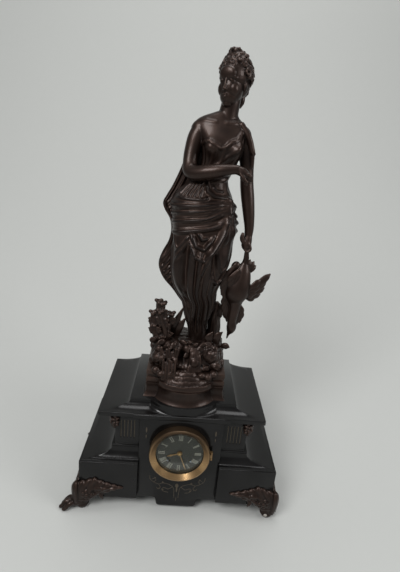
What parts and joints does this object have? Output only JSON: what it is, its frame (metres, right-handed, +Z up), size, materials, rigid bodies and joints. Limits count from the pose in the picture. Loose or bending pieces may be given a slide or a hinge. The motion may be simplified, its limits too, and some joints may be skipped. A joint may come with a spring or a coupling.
{
  "type": "figural mantel clock",
  "caption": "Slate mantel clock on bronzed claw feet, with a hinged glazed bezel, a round movement and a draped figure on a rocky mound.",
  "frame": {"origin": "on the floor under the middle of the plinth", "axes": "+Z up, -Y out of the dial, +X to the viewer's right"},
  "size_m": [0.4408, 0.2333, 0.8122],
  "materials": {
    "slate": "polished",
    "bronze": "bronzed patina",
    "gilt": "satin gilt",
    "brass": "brushed",
    "steel": "polished",
    "dial": "matt",
    "glass": "clear"
  },
  "bodies": {
    "case": {"base_slab": "slate", "plinth_left": "slate", "plinth_right": "slate", "moulding_left": "slate", "moulding_right": "slate", "pilaster_left": "slate", "pilaster_right": "slate", "centre_panel": "slate", "back_panel": "slate", "cornice_slab": "slate", "roof_block": "slate", "foot_front_left": "bronze", "foot_front_right": "bronze", "foot_rear_left": "bronze", "foot_rear_right": "bronze", "corner_masks": "bronze", "figure_socle": "bronze", "mound": "bronze", "tree_stump": "bronze", "figure_body": "bronze", "figure_head": "bronze", "mantle": "bronze", "right_arm": "bronze", "left_arm": "bronze", "bird": "bronze", "plant_cluster": "bronze", "figure_stud": "steel", "figure_nut": "steel", "bezel_base": "gilt", "dial_plate": "dial", "front_plate": "brass", "back_plate": "brass", "suspension_cock": "brass", "bell": "brass", "bell_stand": "brass", "movement_straps": "brass", "rear_ring": "brass"},
    "bezel": {"bezel_door": "gilt", "bezel_glass": "glass"},
    "back_door": {"rear_door": "brass"},
    "minute_work": {"cannon_pinion": "brass", "minute_hand": "gilt"},
    "hour_work": {"hour_wheel": "brass", "hour_hand": "gilt"},
    "minute_wheel_body": {"minute_wheel": "brass"},
    "third_body": {"third_wheel": "brass"},
    "centre_body": {"centre_wheel": "brass"},
    "escape_body": {"escape_wheel": "brass"},
    "intermediate_body": {"intermediate_wheel": "brass"},
    "time_barrel_body": {"time_barrel": "brass"},
    "strike_barrel_body": {"strike_barrel": "brass"},
    "time_winder": {"time_arbor": "steel"},
    "strike_winder": {"strike_arbor": "steel"},
    "strike_body": {"strike_wheel": "brass"},
    "fly_body": {"fly": "steel"},
    "hammer_body": {"hammer": "steel"},
    "pallet_body": {"pallet_anchor": "steel"},
    "pendulum_body": {"pendulum_rod": "steel", "pendulum_bob": "brass"},
    "regulator_body": {"regulator_arbor": "steel"}
  },
  "joints": [
    {"name": "bezel_swing", "type": "hinge", "parent": "case", "child": "bezel", "pos_m": [0.0577, -0.10075, 0.136], "axis": [0, 0, 1], "range_deg": [0, 110]},
    {"name": "back_door_swing", "type": "hinge", "parent": "case", "child": "back_door", "pos_m": [0.0577, 0.10235, 0.136], "axis": [0, 0, -1], "range_deg": [0, 110]},
    {"name": "minute_turn", "type": "hinge", "parent": "case", "child": "minute_work", "pos_m": [0, -0.09, 0.136], "axis": [0, 1, 0], "continuous": true},
    {"name": "hour_turn", "type": "hinge", "parent": "case", "child": "hour_work", "pos_m": [0, -0.09, 0.136], "axis": [0, 1, 0], "continuous": true},
    {"name": "minute_wheel_turn", "type": "hinge", "parent": "case", "child": "minute_wheel_body", "pos_m": [-0.00849, -0.09, 0.14449], "axis": [0, 1, 0], "continuous": true},
    {"name": "third_turn", "type": "hinge", "parent": "case", "child": "third_body", "pos_m": [-0.004, -0.06, 0.14953], "axis": [0, 1, 0], "continuous": true},
    {"name": "centre_turn", "type": "hinge", "parent": "case", "child": "centre_body", "pos_m": [0, -0.06, 0.136], "axis": [0, 1, 0], "continuous": true},
    {"name": "escape_turn", "type": "hinge", "parent": "case", "child": "escape_body", "pos_m": [0, -0.06, 0.16114], "axis": [0, 1, 0], "continuous": true},
    {"name": "intermediate_turn", "type": "hinge", "parent": "case", "child": "intermediate_body", "pos_m": [0.01469, -0.06, 0.13903], "axis": [0, 1, 0], "continuous": true},
    {"name": "time_barrel_turn", "type": "hinge", "parent": "case", "child": "time_barrel_body", "pos_m": [0.021, -0.06, 0.119], "axis": [0, 1, 0], "continuous": true},
    {"name": "strike_turn", "type": "hinge", "parent": "case", "child": "strike_body", "pos_m": [-0.01469, -0.06, 0.13903], "axis": [0, 1, 0], "continuous": true},
    {"name": "strike_barrel_turn", "type": "hinge", "parent": "case", "child": "strike_barrel_body", "pos_m": [-0.021, -0.06, 0.119], "axis": [0, 1, 0], "continuous": true},
    {"name": "fly_turn", "type": "hinge", "parent": "case", "child": "fly_body", "pos_m": [-0.02171, -0.06, 0.14906], "axis": [0, 1, 0], "continuous": true},
    {"name": "time_winding", "type": "hinge", "parent": "case", "child": "time_winder", "pos_m": [0.021, -0.06, 0.119], "axis": [0, 1, 0], "range_deg": [0, 1800]},
    {"name": "strike_winding", "type": "hinge", "parent": "case", "child": "strike_winder", "pos_m": [-0.021, -0.06, 0.119], "axis": [0, 1, 0], "range_deg": [0, 1800]},
    {"name": "regulator_turn", "type": "hinge", "parent": "case", "child": "regulator_body", "pos_m": [0, -0.06, 0.1766], "axis": [0, 1, 0], "range_deg": [-720, 720]},
    {"name": "pendulum_swing", "type": "hinge", "parent": "case", "child": "pendulum_body", "pos_m": [0, -0.034, 0.17114], "axis": [0, 1, 0], "range_deg": [-4, 4]},
    {"name": "crutch_swing", "type": "hinge", "parent": "case", "child": "pallet_body", "pos_m": [0, -0.06, 0.17114], "axis": [0, 1, 0], "range_deg": [-4, 4]},
    {"name": "hammer_swing", "type": "hinge", "parent": "case", "child": "hammer_body", "pos_m": [-0.036, -0.02, 0.14], "axis": [0, 1, 0], "range_deg": [0, 14]}
  ],
  "couplings": [
    {"joint": "hour_turn", "follows": "minute_turn", "ratio": 0.083333},
    {"joint": "minute_wheel_turn", "follows": "minute_turn", "ratio": -0.33333},
    {"joint": "centre_turn", "follows": "third_turn", "ratio": -0.083333},
    {"joint": "escape_turn", "follows": "third_turn", "ratio": -12},
    {"joint": "intermediate_turn", "follows": "third_turn", "ratio": 0.016667},
    {"joint": "time_barrel_turn", "follows": "third_turn", "ratio": -0.0027778},
    {"joint": "strike_barrel_turn", "follows": "strike_turn", "ratio": -0.16667},
    {"joint": "fly_turn", "follows": "strike_turn", "ratio": -7.5},
    {"joint": "crutch_swing", "follows": "pendulum_swing", "ratio": 1}
  ]
}
